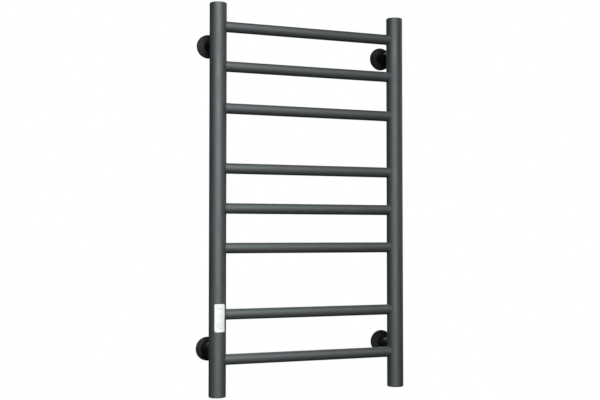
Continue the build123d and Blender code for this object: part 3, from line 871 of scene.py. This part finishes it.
# ---- Brackets ----
STANDOFF_WALL = 3.0 * MM
CABLE_STANDOFF_WALL = 2.5 * MM
SCREW_CLEARANCE = 0.02 * MM
SCREW_HOLE_SIDES = 48
ROSETTE_SIDES = 128
ROSETTE_CLEARANCE = 0.3 * MM  # round the standoff
ROSETTE_SHEET = 1.2 * MM
ROSETTE_RIM = 5.4 * MM
ROSETTE_EDGE = 1.3 * MM  # radius of the rolled rim
WALL_EDGE = 0.4 * MM  # bevel of the edge that meets the wall
COLLAR_WALL = 2.4 * MM
COLLAR_BACK = 4.1 * MM  # from the wall
COLLAR_EDGE = 0.6 * MM
COLLAR_RISE = 0.3 * MM  # of the rounded collar above the dome
BORE_EDGE = 0.25 * MM
SEAT_HALF = 0.85 * MM


class TOWELWARMER_OT_standoffs(bpy.types.Operator):
    """Make the four standoff tubes, cut to the post's surface, with a hole for the set screw"""

    bl_idname = "towel_warmer.standoffs"
    bl_label = "Make the standoffs"

    def execute(self, context):
        sides = context.scene.towel_warmer_tubes.sides
        for corner in CORNERS:
            node = f"standoff_{corner}"
            centre, radius = middle(node), size(node).x / 2
            wall = CABLE_STANDOFF_WALL if corner == "bottom_left" else STANDOFF_WALL
            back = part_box(node)[1].y
            bm = bmesh.new()
            rows = []
            for r in (radius, radius - wall):
                for at_wall in ((False, True) if r == radius else (True, False)):
                    ring = []
                    for dx, dz in ring_outline(r, steps=sides):
                        y = back if at_wall else POST_Y + sqrt(POST_R**2 - dx**2)
                        ring.append(bm.verts.new((centre.x + dx, y, centre.z + dz)))
                    rows.append(ring)
            for lower, upper in zip(rows, rows[1:] + rows[:1]):
                bridge(bm, lower, upper)
            tube = to_mesh("tube", bm)
            screw_y = middle("set_screws").y
            tool = bmesh.new()
            hole = size("set_screws").y / 2 + SCREW_CLEARANCE
            place = Vector((centre.x, screw_y, centre.z))
            drill(tool, hole, 2 * radius, SCREW_HOLE_SIDES, (0, 0, -1), place)
            bm = bmesh.new()
            bm.from_mesh(cut(tube, to_mesh("tool", tool)))
            mesh = to_mesh(f"{node}_tube", bm)
            mark_wear(mesh, lambda co: 0.35 if co.y > back - 0.5 * MM else 0.0)
            # The standoffs take the darker coat, which is partly painted shade from near the wall.
            piece(f"{node}_tube", mesh, "ladder", "bracket_coat", [node])
        return {"FINISHED"}


class TOWELWARMER_OT_rosettes(bpy.types.Operator):
    """Make the four round wall covers, with a rolled rim and a soft shoulder at the collar"""

    bl_idname = "towel_warmer.rosettes"
    bl_label = "Make the rosettes"

    def execute(self, context):
        for corner in CORNERS:
            node = f"rosette_{corner}"
            centre, outer, depth = middle(node), size(node).x / 2, size(node).y
            standoff = size(f"standoff_{corner}").x / 2
            bore = standoff + ROSETTE_CLEARANCE
            collar = bore + COLLAR_WALL
            rim_low = ROSETTE_RIM - ROSETTE_EDGE
            profile = [(outer - WALL_EDGE, 0), (outer, WALL_EDGE), (outer, rim_low)]
            profile += arc((outer - ROSETTE_EDGE, rim_low), ROSETTE_EDGE, 0, 0.42 * pi, 8)[1:]
            start_r, start_z = profile[-1]
            for k in range(1, 9):
                t = k / 8
                ease = t * t * (3 - 2 * t)
                radius = start_r + (collar - start_r) * t
                profile.append((radius, start_z + (depth - COLLAR_RISE - start_z) * ease))
            collar_edge = (collar - COLLAR_EDGE, depth - COLLAR_EDGE)
            profile += arc(collar_edge, COLLAR_EDGE, pi / 6, pi / 2, 5)
            profile += [(bore + BORE_EDGE, depth), (bore, depth - BORE_EDGE)]
            ring_y, seat = -middle(f"grip_ring_{corner}").y, standoff + 2 * SEAT_HALF
            profile += [(bore, ring_y + SEAT_HALF), (seat, ring_y + SEAT_HALF)]
            profile += [(seat, ring_y - SEAT_HALF), (bore, ring_y - SEAT_HALF)]
            inner, under = outer - ROSETTE_SHEET, 1.5 * ROSETTE_SHEET
            profile += [(bore, COLLAR_BACK), (collar, COLLAR_BACK), (collar, depth - under)]
            profile += [(inner, ROSETTE_RIM - under), (inner, 0)]
            bm = bmesh.new()
            place = along((0, -1, 0), Vector((centre.x, 0, centre.z)))
            turned_surface(bm, profile, ROSETTE_SIDES, place)
            mesh = to_mesh(f"{node}_cover", bm, radians(40))
            axis, worn_r = Vector((centre.x, centre.z)), outer - 0.3 * ROSETTE_EDGE
            mark_wear(mesh, lambda co: 0.25 * max(
                0.0, 1 - abs((co.xz - axis).length - worn_r) / ROSETTE_EDGE))
            # The rosettes take the darker coat, which is partly painted shade from near the wall.
            piece(f"{node}_cover", mesh, f"cover_{corner}", "bracket_coat", [node])
        return {"FINISHED"}


# ---- Control panel ----
def rounded_outline(half_x, half_z, corner, steps):
    """Points (x, z) round a rounded rectangle about its middle, anticlockwise."""
    points = []
    for quarter, (sx, sz) in enumerate(((1, 1), (-1, 1), (-1, -1), (1, -1))):
        centre = (sx * (half_x - corner), sz * (half_z - corner))
        points += arc(centre, corner, quarter * pi / 2, (quarter + 1) * pi / 2, steps)
    return points


def bar_outline(start, end, width):
    """A straight bar with round ends from start to end."""
    a, b = Vector(start), Vector(end)
    heading = atan2((b - a).y, (b - a).x)
    points = arc(b, width / 2, heading - pi / 2, heading + pi / 2, 8)
    return points + arc(a, width / 2, heading + pi / 2, heading + 3 * pi / 2, 8)


def open_ring_outline(radius, width, gap):
    """A ring with a gap at its top, with square ends."""
    outer = arc((0, 0), radius + width / 2, pi / 2 + gap, 5 * pi / 2 - gap, 40)
    inner = arc((0, 0), radius - width / 2, 5 * pi / 2 - gap, pi / 2 + gap, 40)
    return outer + inner


def curved_plate(name, outlines, centre_z, surface, thickness, edge=0.0, strip=0.45 * MM):
    """A plate with rounded edges, bent round the left post so that its face lies at a radius.

    The outlines are drawn flat, as seen from in front. One inside another makes a hole. The flat
    plate is split into narrow upright strips, and each point then moves back to the curve."""
    curve = bpy.data.curves.new(name, "CURVE")
    curve.dimensions = "2D"
    curve.fill_mode = "BOTH"
    curve.extrude = thickness / 2 - edge
    curve.bevel_depth = edge
    curve.bevel_resolution = 3
    curve.offset = -edge
    for outline in outlines:
        spline = curve.splines.new("POLY")
        spline.points.add(len(outline) - 1)
        for point, (x, z) in zip(spline.points, outline):
            point.co = (x, z, 0, 1)
        spline.use_cyclic_u = True
    holder = bpy.data.objects.new(name, curve)
    bpy.context.scene.collection.objects.link(holder)
    flat = evaluated_mesh(holder)
    bpy.data.objects.remove(holder)
    bm = bmesh.new()
    bm.from_mesh(flat)
    bmesh.ops.remove_doubles(bm, verts=bm.verts, dist=0.001 * MM)
    low = min(v.co.x for v in bm.verts)
    high = max(v.co.x for v in bm.verts)
    for k in range(1, int((high - low) / strip)):
        bmesh.ops.bisect_plane(
            bm, geom=bm.verts[:] + bm.edges[:] + bm.faces[:],
            plane_co=(low + k * strip, 0, 0), plane_no=(1, 0, 0),
        )
    for v in bm.verts:
        radius = surface - thickness / 2 + v.co.z
        v.co = (POST_X["left"] + v.co.x, POST_Y - sqrt(radius**2 - v.co.x**2), centre_z + v.co.y)
    return bm


PIPE_GAP = 0.05 * MM  # round a light pipe, in the panel
PIPE_MARGIN = 0.4 * MM  # round a light pipe, in the printed field
KEY_MARGIN = 0.1 * MM  # past a key's gap, in the printed field


class TOWELWARMER_OT_panel(bpy.types.Operator):
    """Make the curved white panel with its holes, and the printed field on it"""

    bl_idname = "towel_warmer.panel"
    bl_label = "Make the panel"

    def execute(self, context):
        sizes = context.scene.towel_warmer_panel
        pipes = size("light_pipes")
        pipe_z = middle("light_pipes").z - PANEL.z
        pipe_r, pitch = pipes.z / 2, (pipes.x - pipes.z) / 2

        def openings(key_margin, pipe_margin):
            """The outlines of the holes for the keys and the light pipes, with room round each."""
            around_key = KEY_CROWN_R + sizes.key_gap + key_margin
            keys = [ring_outline(around_key, (0, z - PANEL.z)) for z in KEY_Z.values()]
            places = [(i * pitch, pipe_z) for i in (-1, 0, 1)]
            return keys + [ring_outline(pipe_r + pipe_margin, place, 40) for place in places]

        half_x, half_z, margin = PANEL_SIZE.x / 2, PANEL_SIZE.z / 2, sizes.print_margin
        outline = rounded_outline(half_x, half_z, sizes.corner, 12)
        bm = curved_plate("panel", [outline, *openings(0, PIPE_GAP)], PANEL.z, PANEL_R,
                          sizes.thickness, sizes.edge)
        mesh = to_mesh("panel_cover", bm, radians(50))
        piece("panel_cover", mesh, "ladder", "white_plastic", ["control_panel"])
        outline = rounded_outline(half_x - margin, half_z - margin, sizes.corner, 12)
        bm = curved_plate("field", [outline, *openings(KEY_MARGIN, PIPE_MARGIN)], PANEL.z,
                          PANEL_R + sizes.ink, 2 * sizes.ink)
        mesh = to_mesh("printed_field", bm, radians(50))
        piece("printed_field", mesh, "ladder", "white_plastic", finish="print_field")
        return {"FINISHED"}


KEY_CROWN = 3.0 * MM
KEY_EDGE = 0.3 * MM
KEY_FLANGE = 0.8 * MM
KEY_STEM = 1.6 * MM
KEY_STEM_R = 2.0 * MM
KEY_OVERLAP = 0.8 * MM  # of the stem, inside the crown
MARK_RADIUS = 2.9 * MM
MARK_LINE = 0.55 * MM
CLOCK_HANDS = ((0, 1.8 * MM), (1.3 * MM, 0))
POWER_BAR = ((0, 0.9 * MM), (0, 3.5 * MM))


class TOWELWARMER_OT_keys(bpy.types.Operator):
    """Make the two round keys, each with a generic mark on its crown"""

    bl_idname = "towel_warmer.keys"
    bl_label = "Make the keys"

    def execute(self, context):
        sizes = context.scene.towel_warmer_panel
        clock = [ring_outline(MARK_RADIUS + side * MARK_LINE / 2) for side in (1, -1)]
        marks = {
            "timer": [clock, *([bar_outline((0, 0), tip, MARK_LINE)] for tip in CLOCK_HANDS)],
            "power": [
                [open_ring_outline(MARK_RADIUS, MARK_LINE, radians(32))],
                [bar_outline(*POWER_BAR, MARK_LINE)],
            ],
        }
        for name, z in KEY_Z.items():
            node = f"{name}_key"
            tip_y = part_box(node)[1].y
            bm = curved_plate(node, [ring_outline(KEY_CROWN_R)], z, KEY_R, KEY_CROWN, KEY_EDGE)
            start_y = POST_Y - (KEY_R - KEY_CROWN) - KEY_OVERLAP
            core, lip, length = KEY_CROWN_R - KEY_EDGE, KEY_CROWN_R + KEY_LIP, tip_y - start_y
            flange_back = length - KEY_STEM
            flange = flange_back - KEY_FLANGE
            stem = [(0, 0), (core, 0), (core, flange), (lip, flange), (lip, flange_back)]
            stem += [(KEY_STEM_R, flange_back), (KEY_STEM_R, length), (0, length)]
            turned_surface(bm, stem, 72, along((0, 1, 0), Vector((POST_X["left"], start_y, z))))
            mesh = to_mesh(f"{node}_cap", bm, radians(50))
            piece(f"{node}_cap", mesh, f"{name}_button", "key_plastic", [node])
            for number, outlines in enumerate(marks[name]):
                top = KEY_R + sizes.ink * (1 + 0.3 * number)
                plate = curved_plate("mark", outlines, z, top, 2 * sizes.ink)
                title = f"{name}_mark_{number + 1}"
                mesh = to_mesh(title, plate, radians(50))
                piece(title, mesh, f"{name}_button", "key_plastic", finish="mark")
        return {"FINISHED"}


# ---- Stage ----
FLOOR_SIZE = 24.0
FLOOR_BOUNCE = 0.1  # share of the light that the floor throws back
ROOM_COLOUR = (0.92, 0.96, 1.0)
LIGHT_COLOUR = (0.97, 1.0, 1.0)


class TOWELWARMER_OT_stage(bpy.types.Operator):
    """Make the pale floor, the soft lights and the camera"""

    bl_idname = "towel_warmer.stage"
    bl_label = "Make the stage"

    def execute(self, context):
        scene = context.scene
        stage = scene.towel_warmer_stage
        floor_z = LADDER_LOW - stage.floor_drop
        half = FLOOR_SIZE / 2
        mesh = bpy.data.meshes.new("floor")
        corners = [(x * half, y * half, floor_z) for x, y in ((-1, -1), (1, -1), (1, 1), (-1, 1))]
        mesh.from_pydata(corners, [], [(0, 1, 2, 3)])
        mesh.materials.append(stage_white("pale_floor", FLOOR_BOUNCE))
        floor = bpy.data.objects.new("floor", mesh)
        scene.collection.objects.link(floor)
        floor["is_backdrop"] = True

        world = bpy.data.worlds.new("studio")
        world.use_nodes = True
        scene.world = world
        tree = world.node_tree
        room = tree.nodes["Background"]
        room.inputs["Color"].default_value = (*ROOM_COLOUR, 1)
        room.inputs["Strength"].default_value = stage.room
        ground = add(tree, "ShaderNodeBackground", {"Color": (1, 1, 1, 1)})
        out = tree.nodes["World Output"].inputs["Surface"]
        by_camera_ray(tree, ground.outputs["Background"], room.outputs["Background"], out)

        # name, place, target, width and height, power, spread in degrees
        lights = [
            ("key", (-0.75, POST_Y - 2.30, 1.50), (-0.42, POST_Y, -0.38), (0.9, 1.3),
             stage.key_light, 75),
            ("fill", (-0.5, POST_Y - 1.60, -0.1), (-0.1, POST_Y, -0.4), (0.6, 0.5),
             stage.fill_light, 120),
            ("above", (0.1, -0.9, 2.2), (0, POST_Y, 0.2), (1.6, 0.9), stage.top_light, 180),
            ("behind", (0.5, 2.4, 1.2), (0, 0, -0.1), (1.2, 1.2), stage.back_light, 120),
            ("right_side", (2.2, 0.3, 0.5), (0.2, 0, -0.1), (0.8, 1.2), stage.side_light, 120),
        ]
        for name, place, target, extent, watts, spread_angle in lights:
            data = bpy.data.lights.new(name, "AREA")
            data.shape = "RECTANGLE"
            data.size, data.size_y = extent
            data.energy = watts
            data.spread = radians(spread_angle)
            data.color = LIGHT_COLOUR
            lamp = bpy.data.objects.new(name, data)
            lamp.location = place
            heading = Vector(target) - Vector(place)
            lamp.rotation_euler = heading.to_track_quat("-Z", "Y").to_euler()
            scene.collection.objects.link(lamp)

        data = bpy.data.cameras.new("camera")
        data.lens = stage.lens
        data.sensor_width = 36
        data.sensor_fit = "HORIZONTAL"
        data.clip_end = 60
        camera = bpy.data.objects.new("camera", data)
        camera.location = stage.camera_place
        camera.rotation_euler = Euler((pi / 2 + stage.camera_rise, 0, -stage.camera_turn))
        scene.collection.objects.link(camera)
        scene.camera = camera
        scene.view_settings.view_transform = "Standard"
        return {"FINISHED"}


class TOWELWARMER_PT_panel(bpy.types.Panel):
    """The sizes, finishes and steps of the towel warmer"""

    bl_label = "Towel warmer"
    bl_idname = "TOWELWARMER_PT_panel"
    bl_space_type = "VIEW_3D"
    bl_region_type = "UI"
    bl_category = "Towel warmer"

    def draw(self, context):
        for name in GROUPS:
            group = getattr(context.scene, name)
            box = self.layout.box()
            box.label(text=name.removeprefix("towel_warmer_").capitalize())
            for prop in group.bl_rna.properties:
                if not prop.is_readonly and prop.identifier != "name":
                    box.prop(group, prop.identifier)
        for operator in OPERATORS:
            self.layout.operator(operator.bl_idname)


GROUPS = {
    "towel_warmer_tubes": TubeSizes, "towel_warmer_panel": PanelSizes,
    "towel_warmer_finish": Finish, "towel_warmer_stage": StageSettings,
}
OPERATORS = (
    TOWELWARMER_OT_materials, TOWELWARMER_OT_posts, TOWELWARMER_OT_rungs, TOWELWARMER_OT_welds,
    TOWELWARMER_OT_caps, TOWELWARMER_OT_standoffs, TOWELWARMER_OT_rosettes, TOWELWARMER_OT_panel,
    TOWELWARMER_OT_keys, TOWELWARMER_OT_stage,
)


def register():
    for cls in (*GROUPS.values(), *OPERATORS, TOWELWARMER_PT_panel):
        bpy.utils.register_class(cls)
    for name, group in GROUPS.items():
        setattr(bpy.types.Scene, name, PointerProperty(type=group))


def unregister():
    for name in GROUPS:
        delattr(bpy.types.Scene, name)
    for cls in (TOWELWARMER_PT_panel, *reversed(OPERATORS), *reversed(list(GROUPS.values()))):
        bpy.utils.unregister_class(cls)


def main():
    register()
    for operator in OPERATORS:
        family, name = operator.bl_idname.split(".")
        getattr(getattr(bpy.ops, family), name)()
    {"cad": CAD_BOX, "visual": view_layer_bounds()}


if __name__ == "__main__":
    main()
